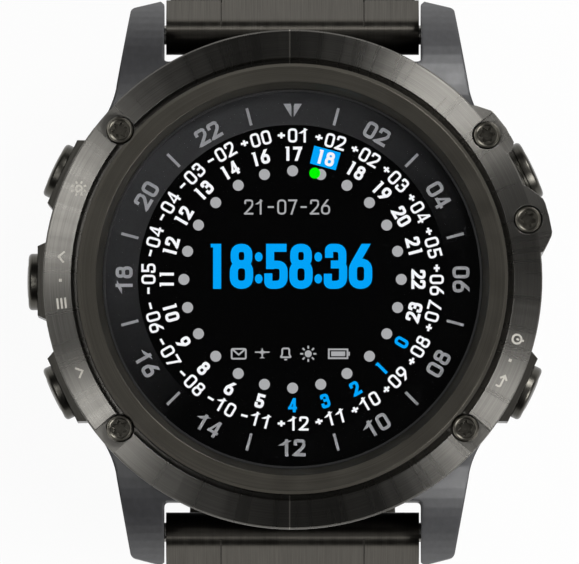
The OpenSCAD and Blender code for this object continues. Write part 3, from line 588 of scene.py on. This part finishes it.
# Points in millimetres become a piece that rides on a body; place is the piece's own matrix, in millimetres
def makePiece(name, points, faces, material, body, place=None, smooth=True, sharp=30):
    mesh = bpy.data.meshes.new(name)
    mesh.from_pydata([tuple(c * mm for c in point) for point in points], [], faces)
    work = bmesh.new()
    work.from_mesh(mesh)
    bmesh.ops.remove_doubles(work, verts=work.verts, dist=weldWithin)
    bmesh.ops.dissolve_degenerate(work, edges=work.edges, dist=sliverWithin)
    bmesh.ops.recalc_face_normals(work, faces=work.faces)
    work.to_mesh(mesh)
    work.free()
    if smooth:
        mesh.shade_smooth()
        mesh.set_sharp_from_angle(angle=math.radians(sharp))
    mesh.materials.append(material)
    piece = bpy.data.objects.new(name, mesh)
    bpy.context.scene.collection.objects.link(piece)
    if place is not None:
        piece.matrix_world = Matrix.Translation(place.translation * mm) @ place.to_3x3().to_4x4()
    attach(piece, body)
    return piece


# A profile of (radius, height, lobe) turned round Z; lobe pushes the radius in and out lobes times a turn
def turned(profile, steps, lobes=6):
    points, faces = [], []
    count = len(profile)
    for step in range(steps):
        angle = 2 * math.pi * step / steps
        for radius, height, lobe in profile:
            r = radius + lobe * math.cos(lobes * angle)
            points.append((r * math.cos(angle), r * math.sin(angle), height))
    for step in range(steps):
        here, there = step * count, (step + 1) % steps * count
        for i in range(count):
            j = (i + 1) % count
            faces.append((here + i, there + i, there + j, here + j))
    return points, faces


def plain(profile):
    return [(radius, height, 0) for radius, height in profile]


# Matrix of a piece in the head that points outwards: its Z axis is the way out
def outward(angle, height):
    turn = Matrix.Rotation(math.radians(angle), 4, "Z") @ Matrix.Rotation(math.radians(90), 4, "Y")
    return Matrix.Translation((0, 0, headZ + height)) @ turn


# Figures are strokes on a grid one wide and two high. Each stroke is closed or open, round or not, a centre
# line, and a share of the weight.

glyphs = {
    "0": [(True, 1, [(0, 0), (1, 0), (1, 2), (0, 2)], 1)],
    "1": [(False, 0, [(0.62, 0), (0.62, 2)], 1), (False, 0, [(0.62, 1.84), (0.2, 1.52)], 0.9)],
    "2": [(False, 1, [(0, 1.58), (0, 2), (1, 2), (1, 1.2), (0.05, 0.1)], 1), (False, 0, [(0, 0), (1, 0)], 1)],
    "3": [(False, 1, [(0.08, 1.68), (0.08, 2), (0.95, 2), (0.95, 1.1), (0.46, 1.1)], 1),
          (False, 1, [(0.46, 1.1), (1, 1.1), (1, 0), (0, 0), (0, 0.38)], 1)],
    "4": [(False, 0, [(0.66, 2), (0, 0.5)], 0.7), (False, 0, [(0, 0.5), (1, 0.5)], 0.9),
          (False, 0, [(0.78, 0), (0.78, 2)], 1)],
    "5": [(False, 0, [(0.12, 2), (0.93, 2)], 1), (False, 0, [(0.12, 2), (0.12, 1.07)], 1),
          (False, 1, [(0.12, 1.09), (1, 1.09), (1, 0), (0, 0), (0, 0.4)], 1)],
    "6": [(True, 1, [(0, 0), (1, 0), (1, 1.2), (0, 1.2)], 1),
          (False, 1, [(0, 0.55), (0, 0.95), (0.72, 2)], 1)],
    "7": [(False, 0, [(0, 2), (1, 2)], 1), (False, 0, [(0.95, 1.98), (0.35, 0)], 1)],
    "8": [(True, 1, [(0, 0), (1, 0), (1, 1.11), (0, 1.11)], 1),
          (True, 1, [(0.054, 1.11), (0.946, 1.11), (0.946, 2), (0.054, 2)], 1)],
    "9": [(True, 1, [(0, 0.8), (1, 0.8), (1, 2), (0, 2)], 1),
          (False, 1, [(1, 1.45), (1, 1.05), (0.28, 0)], 1)],
    "+": [(False, 0, [(0.15, 1), (0.85, 1)], 1), (False, 0, [(0.5, 0.7), (0.5, 1.3)], 1)],
    "-": [(False, 0, [(0.2, 1), (0.8, 1)], 1)],
}
boldGlyphs = {
    **glyphs,
    "1": [(False, 0, [(0.546, 0), (0.546, 2)], 1), (False, 0, [(0.247, 2.12), (0.546, 2.12)], 0.45)],
}
colon = {
    "wide": 0.95, "dotHigh": 0.61,  # shares of the stroke's weight and of the colon's width
    "dots": (0.2225, 0.709),  # heights of the dots as shares of the figure's height
    "steps": 28,
}


# Rounds the corners of a line with arcs of up to the given radius
def rounded(line, closed, radius, steps=5):
    points = [Vector(p) for p in line]
    out = []
    for i, here in enumerate(points):
        if radius <= 0 or (not closed and i in (0, len(points) - 1)):
            out.append(here)
            continue
        before, after = points[i - 1], points[(i + 1) % len(points)]
        room = min(radius, (before - here).length / 2, (after - here).length / 2)
        a = here + (before - here).normalized() * room
        b = here + (after - here).normalized() * room
        for step in range(steps + 1):
            t = step / steps
            out.append(a * (1 - t) ** 2 + here * 2 * t * (1 - t) + b * t ** 2)
    return out


# The end of a stroke that runs out in a direction: square, or cut level where the stroke is steep and slanted
slanted, steep = 0.05, 0.5


def strokeEnd(here, way, weight):
    if abs(way.x) > slanted and abs(way.y) > steep:
        reach = weight / 2 / abs(way.y)
        return here + way * reach, Vector((-math.copysign(reach, way.y), 0))
    return here + way * weight / 2, Vector((-way.y, way.x)) * weight / 2


# A flat band along a line, as pairs of points with the faces between them
tooShort, foldedBack, leastShare = 1e-9, 1e-6, 0.5  # the share keeps sharp corners short


def band(line, closed, weight, squareEnds):
    count = len(line)
    pairs = []
    for i, here in enumerate(line):
        before = line[i - 1] if closed or i > 0 else here
        after = line[(i + 1) % count] if closed or i < count - 1 else here
        into, out = (here - before), (after - here)
        into = into.normalized() if into.length > tooShort else out.normalized()
        out = out.normalized() if out.length > tooShort else into
        middle = (into + out).normalized() if (into + out).length > foldedBack else into
        side = Vector((-middle.y, middle.x)) * (weight / 2 / max(leastShare, middle.dot(into)))
        if squareEnds and not closed and i == 0:
            here, back = strokeEnd(here, -out, weight)
            side = -back
        elif squareEnds and not closed and i == count - 1:
            here, side = strokeEnd(here, into, weight)
        pairs += [here + side, here - side]
    last = count if closed else count - 1
    faces = [(2 * i, 2 * i + 1, (2 * i + 3) % (2 * count), (2 * i + 2) % (2 * count)) for i in range(last)]
    return pairs, faces


# Gathers flat marks; height(x, y) gives the surface they lie on, and each new line lies a hair above the last
class Marks:
    hair, layers = 0.0004, 12

    def __init__(self, height):
        self.points, self.faces, self.height, self.layer = [], [], height, 0

    def line(self, points, closed, weight, centre=(0, 0), turn=0, radius=0, squareEnds=False):
        pairs, faces = band(rounded(points, closed, radius), closed, weight, squareEnds)
        self.add(pairs, faces, centre, turn)

    def patch(self, outline, centre=(0, 0), turn=0):
        self.add([Vector(p) for p in outline], [tuple(range(len(outline)))], centre, turn)

    def add(self, flat, faces, centre, turn):
        start = len(self.points)
        c, s = math.cos(math.radians(turn)), math.sin(math.radians(turn))
        for p in flat:
            x, y = centre[0] + p[0] * c - p[1] * s, centre[1] + p[0] * s + p[1] * c
            self.points.append((x, y, self.height(x, y) + self.layer * self.hair))
        self.faces += [tuple(start + i for i in face) for face in faces]
        self.layer = (self.layer + 1) % self.layers

    # A row of figures, centred
    def text(self, words, height, width, gap, weight, centre=(0, 0), turn=0, corner=0.5, font=glyphs):
        widths = [weight * colon["wide"] if ch == ":" else width for ch in words]
        x = -(sum(widths) + gap * (len(words) - 1)) / 2
        for ch, wide in zip(words, widths):
            if ch == ":":
                angles = [2 * math.pi * i / colon["steps"] for i in range(colon["steps"])]
                for share in colon["dots"]:
                    up = (share - 0.5) * height
                    self.patch([(x + wide / 2 * (1 + math.cos(a)), up + wide * colon["dotHigh"] * math.sin(a))
                                for a in angles], centre, turn)
            for closed, roundness, line, share in font.get(ch, []):
                across, up = wide - weight, (height - weight) / 2
                shape = [(x + weight / 2 + px * across, (py - 1) * up) for px, py in line]
                radius = roundness * corner * min(across, up)
                self.line(shape, closed, weight * share, centre, turn, radius, True)
            x += wide + gap

    def dot(self, radius, centre, steps=28):
        self.patch([polar(radius, 360 * i / steps) for i in range(steps)], centre)

    # Short strokes round a centre, like the rays of a sun
    def rays(self, inR, outR, weight, centre, turn=0, count=8):
        for ray in range(count):
            angle = ray * 360 / count
            self.line([polar(inR, angle), polar(outR, angle)], False, weight, centre, turn)

    def piece(self, name, material, slot):
        made = makePiece(name, self.points, self.faces, material, "head", smooth=False)
        for face in made.data.polygons:
            if face.normal.z < 0:
                face.flip()
        return made


# Hour ring, a shallow cone inside the glass, with its printed figures

hourRing = {
    "inR": 15.8, "outR": 19.35, "low": 13.7, "inTop": 13.73, "outTop": 13.96, "steps": 240,
    "figureR": 17.2, "figureHigh": 1.74, "figureWide": 1.22, "gap": 0.22, "weight": 0.33,
    "tickFrom": 16.3, "tickTo": 18.1, "tickWide": 0.28,
    "triangleTop": 17.95,
    "triangleHalf": [(0.95, 0), (0.2, 0), (0.12, -0.28), (0.12, -1.35)],  # its right half, split by a gap
    "inkHeight": 0.008,
}


def ringHeight(x, y):
    h = hourRing
    share = (math.hypot(x, y) - h["inR"]) / (h["outR"] - h["inR"])
    return headZ + h["inTop"] + share * (h["outTop"] - h["inTop"]) + h["inkHeight"]


# Hours run clockwise from the top
def hourAngle(hour):
    return 90 - 360 / 24 * hour


# Figures stand on the middle in the upper half and on the rim in the lower half
def figureTurn(hour):
    return hourAngle(hour) + (-90 if hour <= 6 or hour >= 18 else 90)


def makeHourRing():
    h = hourRing
    low, inTop, outTop = (headZ + h[side] for side in ("low", "inTop", "outTop"))
    profile = plain([(h["inR"], low), (h["outR"], low), (h["outR"], outTop), (h["inR"], inTop)])
    points, faces = turned(profile, h["steps"])
    ring = makePiece("hourRingCone", points, faces, lacquer, "head")
    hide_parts("hour_ring")
    marks = Marks(ringHeight)
    for hour in range(24):
        angle = hourAngle(hour)
        if hour % 2:
            marks.line([polar(h["tickFrom"], angle), polar(h["tickTo"], angle)], False, h["tickWide"])
        elif hour:
            marks.text(f"{hour:02d}", h["figureHigh"], h["figureWide"], h["gap"], h["weight"],
                       polar(h["figureR"], angle), figureTurn(hour))
    for side in (-1, 1):
        marks.patch([(side * x, h["triangleTop"] + y) for x, y in h["triangleHalf"]])
    marks.piece("hourFigures", ringInk, "ring_grey")


makeHourRing()
print("hour ring is made")


# Screen

screen = {
    "top": 13.65,
    "patchLift": 0.006, "firstLift": 0.014, "nextLift": 0.006,  # of the colours above the screen
    "offsetR": 14.72, "offsetHigh": 1.45, "offsetWide": 0.95, "offsetGap": 0.2, "offsetWeight": 0.23,
    "hourR": 12.85, "hourHigh": 1.45, "hourWide": 0.92, "hourGap": 0.1, "hourWeight": 0.3,
    "nextDayTo": 4,  # hours up to this one are of the next day and blue
    "homePatch": [(12.0, 81.5), (12.0, 68.5), (13.85, 69.2), (13.85, 80.8)],  # radius and angle
    "dotAt": 11.1, "dotR": 0.56, "homeDot": 78.2,
    "time": "18:58:36", "timeHigh": 4.6, "timeWide": 2.38, "timeGap": 0.18, "timeWeight": 0.82,
    "timeX": -0.42, "timeY": 1.34, "timeCorner": 0.85,
    "date": "21-07-26", "dateHigh": 1.54, "dateWide": 0.92, "dateGap": 0.2, "dateWeight": 0.18,
    "dateX": -0.55, "dateY": 7.4,
    "iconY": -7.6, "iconLine": 0.17, "batteryTip": 0.14,
    "letterX": -5.5, "planeX": -3.1, "bellX": -0.7, "sunX": 1.6, "batteryX": 4.65,
}
# offset from universal time, and the hour there
offsets = ["+01", "+02", "+02", "+03", "+04", "+05", "+06", "+07", "+08", "+09", "+10", "+11",
           "+12", "-11", "-10", "-08", "-07", "-06", "-05", "-04", "-04", "-03", "-02", "+00"]
hours = [17, 18, 18, 19, 20, 21, 22, 23, 0, 1, 2, 3, 4, 5, 6, 8, 9, 10, 11, 12, 12, 13, 14, 16]


def screenLevel(lift):
    return lambda x, y: headZ + screen["top"] + lift


def rectangle(halfWide, halfHigh):
    return [(-halfWide, -halfHigh), (halfWide, -halfHigh), (halfWide, halfHigh), (-halfWide, halfHigh)]


def drawIcons(grey):
    y, w = screen["iconY"], screen["iconLine"]
    letter, plane, bell, sun, battery = (
        (screen[icon + "X"], y) for icon in ("letter", "plane", "bell", "sun", "battery"))
    grey.line(rectangle(0.72, 0.5), True, w, letter, 0, 0.15)
    grey.line([(-0.6, 0.42), (0, -0.1), (0.6, 0.42)], False, w, letter)
    grey.patch([(-0.75, 0.1), (-0.12, 0.3), (0, 0.62), (0.12, 0.3), (0.75, 0.1), (0.75, 0.24), (0.1, 0.02),
                (0.06, -0.3), (0.28, -0.45), (-0.28, -0.45), (-0.06, -0.3), (-0.1, 0.02), (-0.75, 0.24)],
               plane)
    grey.line([(-0.55, -0.35), (0.55, -0.35), (0.36, -0.1), (0.36, 0.55), (-0.36, 0.55), (-0.36, -0.1)],
              True, w, bell, 0, 0.2)
    grey.line([(-0.14, -0.58), (0.14, -0.58)], False, w, bell)
    grey.dot(0.36, sun)
    grey.rays(0.52, 0.82, w, sun)
    grey.line(rectangle(0.95, 0.45), True, w, battery)
    grey.patch(rectangle(0.72, 0.24), battery)
    grey.line([(1.12, -0.2), (1.12, 0.2)], False, screen["batteryTip"], battery)


def makeScreenMarks():
    s = screen
    patch = Marks(screenLevel(s["patchLift"]))
    white, blue, grey, green = (Marks(screenLevel(s["firstLift"] + s["nextLift"] * i)) for i in range(4))
    patch.patch([polar(radius, angle) for radius, angle in s["homePatch"]])
    for place, (offset, hour) in enumerate(zip(offsets, hours)):
        angle, turn = hourAngle(place), figureTurn(place)
        white.text(offset, s["offsetHigh"], s["offsetWide"], s["offsetGap"], s["offsetWeight"],
                   polar(s["offsetR"], angle), turn)
        paint = blue if hour <= s["nextDayTo"] else white
        paint.text(str(hour), s["hourHigh"], s["hourWide"], s["hourGap"], s["hourWeight"],
                   polar(s["hourR"], angle), turn, font=boldGlyphs)
        grey.dot(s["dotR"], polar(s["dotAt"], angle))
    green.dot(s["dotR"], polar(s["dotAt"], s["homeDot"]))
    blue.text(s["time"], s["timeHigh"], s["timeWide"], s["timeGap"], s["timeWeight"],
              (s["timeX"], s["timeY"]), corner=s["timeCorner"], font=boldGlyphs)
    grey.text(s["date"], s["dateHigh"], s["dateWide"], s["dateGap"], s["dateWeight"],
              (s["dateX"], s["dateY"]))
    drawIcons(grey)
    patch.piece("screenHomePatch", bluePixels, "screen_black")
    white.piece("screenWhiteFigures", whitePixels, "screen_black")
    blue.piece("screenBlueFigures", bluePixels, "screen_black")
    grey.piece("screenGreyMarks", greyPixels, "screen_black")
    green.piece("screenGreenDot", greenPixels, "screen_black")


makeScreenMarks()
print("screen is drawn")


# Signs beside the buttons, cut into the outer ring; their places are angles

ringFace = {
    "inR": 22.65, "outR": 25.35, "top": 15.1, "fall": 0.35, "signR": 23.7, "line": 0.2, "lift": 0.006,
    "lamp": 157, "up": 174.5, "upDot": 180.3, "menu": 186, "down": 203.6,
    "back": -26, "backDot": -20.5, "lap": -15,
}


def faceHeight(x, y):
    f = ringFace
    share = (math.hypot(x, y) - f["inR"]) / (f["outR"] - f["inR"])
    return headZ + f["top"] - f["fall"] * share + f["lift"]


def at(sign):
    return {"centre": polar(ringFace["signR"], ringFace[sign]), "turn": ringFace[sign] - 90}


def makeButtonMarks():
    marks = Marks(faceHeight)
    w = ringFace["line"]
    marks.line([polar(0.3, i * 22.5) for i in range(16)], True, w, **at("lamp"))
    marks.rays(0.52, 0.8, w, **at("lamp"))
    marks.line([(-0.55, -0.28), (0, 0.3), (0.55, -0.28)], False, w, **at("up"))
    marks.patch(rectangle(0.15, 0.15), **at("upDot"))
    for row in (-0.4, 0, 0.4):
        marks.line([(-0.55, row), (0.55, row)], False, w, **at("menu"))
    marks.line([(-0.55, 0.28), (0, -0.3), (0.55, 0.28)], False, w, **at("down"))
    marks.line([(0.62, -0.35), (0.62, 0.12), (-0.6, 0.12)], False, w, radius=0.2, **at("back"))
    marks.line([(-0.22, 0.48), (-0.62, 0.12), (-0.22, -0.24)], False, w, **at("back"))
    marks.patch(rectangle(0.15, 0.15), **at("backDot"))
    marks.line([polar(0.46, i * 22.5) for i in range(16)], True, w, **at("lap"))
    marks.line([(0, -0.05), (0, 0.24)], False, w, **at("lap"))
    marks.line([(0, 0.5), (0, 0.74)], False, w, **at("lap"))
    marks.piece("buttonMarks", engraved, "titanium_brushed")


makeButtonMarks()
print("button marks are cut")


# Screws of the bezel: a raised rim round a six-lobed socket

bezelScrew = {
    # angle, distance from the middle, and turn of the socket
    "places": [(139.2, 23.3, 12), (220.8, 23.3, 40), (-40.8, 23.3, 25), (36.6, 24.7, 5), (14.2, 24.8, 50)],
    "headR": 1.41, "shankR": 0.65, "low": 9.4, "seat": 13.9, "top": 14.8, "steps": 96,
    "rim": [(0, 0.25), (0.04, 0.12), (0.12, 0.03), (0.24, 0), (0.36, 0.02), (0.46, 0.1)],  # inwards and down
    "socketR": 0.64, "lobe": 0.15, "chamfer": 0.06, "depth": 0.7,
}


def makeBezelScrews():
    b = bezelScrew
    top, chamferTop = b["top"], b["rim"][-1][1]
    profile = plain([(0, b["low"]), (b["shankR"], b["low"]), (b["shankR"], b["seat"]),
                     (b["headR"], b["seat"])])
    profile += plain([(b["headR"] - inwards, top - down) for inwards, down in b["rim"]])
    profile += [(b["socketR"] + b["chamfer"], top - chamferTop, b["lobe"]),
                (b["socketR"], top - chamferTop - b["chamfer"], b["lobe"]),
                (b["socketR"], top - b["depth"], b["lobe"]), (0, top - b["depth"], 0)]
    points, faces = turned(profile, b["steps"])
    for number, (angle, distance, turn) in enumerate(b["places"]):
        middle = Matrix.Translation((*polar(distance, angle), headZ))
        place = middle @ Matrix.Rotation(math.radians(turn), 4, "Z")
        screw = makePiece(f"bezelScrew{number + 1}", points, faces, screwSteel, "head", place)
        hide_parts("bezel_screws")


makeBezelScrews()
print("bezel screws are in")


# Buttons: stem, cap with a groove round it, and a rim round a low dome

button = {
    "height": 7, "stemR": 1.3, "stemEnd": 19, "capBase": 24.5, "steps": 120,
    "r": 2.9, "face": 27.2, "startR": 3.05, "startFace": 27.3, "angle": 25.4,  # each side of 3 and 9 o'clock
    "chamfer": 0.05, "grooveShift": 0.1,
    # inwards, and out from the middle of the groove
    "groove": [(0, -0.2), (0.06, -0.13), (0.14, -0.1), (0.14, 0.1), (0.06, 0.13), (0, 0.2)],
    # inwards, and below the face
    "rim": [(0, 0.5), (0.04, 0.36), (0.14, 0.24), (0.3, 0.16), (0.5, 0.13), (0.62, 0.16), (0.68, 0.22),
            (0.76, 0.22), (0.84, 0.16)],
    "dome": [(0.5, 0.05), (0.25, 0.012), (0, 0)],  # share of the radius, and below the face
    "sharp": 40,
}


def makeButton(name, angle, r, face):
    b = button
    groove = (b["capBase"] + face) / 2 + b["grooveShift"]
    profile = [(0, b["stemEnd"]), (b["stemR"], b["stemEnd"]), (b["stemR"], b["capBase"]),
               (r - b["chamfer"], b["capBase"]), (r, b["capBase"] + b["chamfer"])]
    profile += [(r - inwards, groove + out) for inwards, out in b["groove"]]
    profile += [(r - inwards, face - down) for inwards, down in b["rim"]]
    profile += [(r * share, face - down) for share, down in b["dome"]]
    points, faces = turned(plain(profile), b["steps"])
    piece = makePiece(name.replace("_button", "Button"), points, faces, capTitanium, name,
                      outward(angle, b["height"]), sharp=b["sharp"])
    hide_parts(name)


for name, angle in (("light_button", 180 - button["angle"]), ("up_button", 180),
                    ("down_button", 180 + button["angle"]), ("back_button", -button["angle"])):
    makeButton(name, angle, button["r"], button["face"])
makeButton("start_button", button["angle"], button["startR"], button["startFace"])
print("buttons are made")


# Lamps that stand round the watch, aimed at the middle of the head

lamps = {
    "rightRear": {"azimuth": 52, "elevation": 48, "distance": 700, "size": (200, 260), "power": 2.4},
    "rightFront": {"azimuth": 326, "elevation": 48, "distance": 700, "size": (260, 260), "power": 2.6},
    "leftRear": {"azimuth": 157, "elevation": 64, "distance": 700, "size": (160, 260), "power": 0.6},
    "leftFront": {"azimuth": 211, "elevation": 64, "distance": 700, "size": (90, 260), "power": 0.45},
}
aimHeight = 10  # above the back


def makeLamp(name, lamp):
    data = bpy.data.lights.new(name, "AREA")
    data.shape = "RECTANGLE"
    data.size, data.size_y = (side * mm for side in lamp["size"])
    data.energy = lamp["power"]
    light = bpy.data.objects.new(name, data)
    bpy.context.scene.collection.objects.link(light)
    level = math.radians(lamp["elevation"])
    x, y = polar(math.cos(level), lamp["azimuth"])
    way = Vector((x, y, math.sin(level)))
    light.location = (Vector((0, 0, headZ + aimHeight)) + way * lamp["distance"]) * mm
    light.rotation_euler = way.to_track_quat("Z", "Y").to_euler()


for name, lamp in lamps.items():
    makeLamp(name, lamp)


# A tent that is pale at the horizon and dark overhead

tent = {
    "horizon": "#F4F4F2", "front": "#1E1E1E", "rear": "#303030", "strength": 1.0,
    "paleTo": 0.02, "darkFrom": 0.16, "frontTo": -0.6, "rearFrom": 0.6,  # parts of a direction one long
}


def makeTent():
    world = bpy.data.worlds.new("tent")
    world.use_nodes = True
    tree = world.node_tree
    tree.nodes.clear()
    place = addNode(tree, "ShaderNodeTexCoord")
    parts = addNode(tree, "ShaderNodeSeparateXYZ", links={0: place.outputs["Generated"]})
    rise = addNode(tree, "ShaderNodeMapRange",
                   {"interpolation_type": "SMOOTHSTEP", "From Min": tent["paleTo"],
                    "From Max": tent["darkFrom"]},
                   {"Value": parts.outputs["Z"]})
    rearwards = addNode(tree, "ShaderNodeMapRange",
                        {"From Min": tent["frontTo"], "From Max": tent["rearFrom"]},
                        {"Value": parts.outputs["Y"]})
    above = addNode(tree, "ShaderNodeMixRGB",
                    {"Color1": toLinear(tent["front"]), "Color2": toLinear(tent["rear"])},
                    {"Fac": rearwards.outputs[0]})
    tone = addNode(tree, "ShaderNodeMixRGB", {"Color1": toLinear(tent["horizon"])},
                   {"Fac": rise.outputs[0], "Color2": above.outputs[0]})
    glow = addNode(tree, "ShaderNodeBackground", {"Strength": tent["strength"]}, {"Color": tone.outputs[0]})
    addNode(tree, "ShaderNodeOutputWorld", links={"Surface": glow.outputs[0]})
    bpy.context.scene.world = world


makeTent()


# Painted board: white, with the watch's soft shadow on it

floorBoard = {"size": 4000, "below": 0.02, "dark": "#F6F6F4", "light": "#FAFAF9", "grain": 6, "glow": 0.95}


def makeFloor():
    material, tree = newMaterial("boardPaintedWhite")
    grain = mottled(tree, stretched(tree, floorBoard["grain"]), floorBoard["dark"], floorBoard["light"])
    paint = addNode(tree, "ShaderNodeBsdfDiffuse", links={"Color": grain})
    white = addNode(tree, "ShaderNodeEmission", {"Strength": 1.0})
    ray = addNode(tree, "ShaderNodeLightPath")
    seen = addNode(tree, "ShaderNodeMath", {"operation": "MAXIMUM"},
                   {0: ray.outputs["Is Camera Ray"], 1: ray.outputs["Is Glossy Ray"]})
    seenThrough = addNode(tree, "ShaderNodeMath", {"operation": "MAXIMUM"},
                          {0: seen.outputs[0], 1: ray.outputs["Is Transmission Ray"]})
    share = addNode(tree, "ShaderNodeMath", {"operation": "MULTIPLY", 1: floorBoard["glow"]},
                    {0: seenThrough.outputs[0]})
    finishMaterial(tree, addNode(tree, "ShaderNodeMixShader", links={
        0: share.outputs[0], 1: paint.outputs[0], 2: white.outputs[0]}))
    mesh = bpy.data.meshes.new("floor")
    half = floorBoard["size"] / 2 * mm
    corners = [(x, y, -floorBoard["below"] * mm) for x, y in rectangle(half, half)]
    mesh.from_pydata(corners, [], [(0, 1, 2, 3)])
    mesh.materials.append(material)
    floor = bpy.data.objects.new("floor", mesh)
    bpy.context.scene.collection.objects.link(floor)


makeFloor()
bpy.context.scene.view_settings.view_transform = "Standard"
print("light and floor are set")
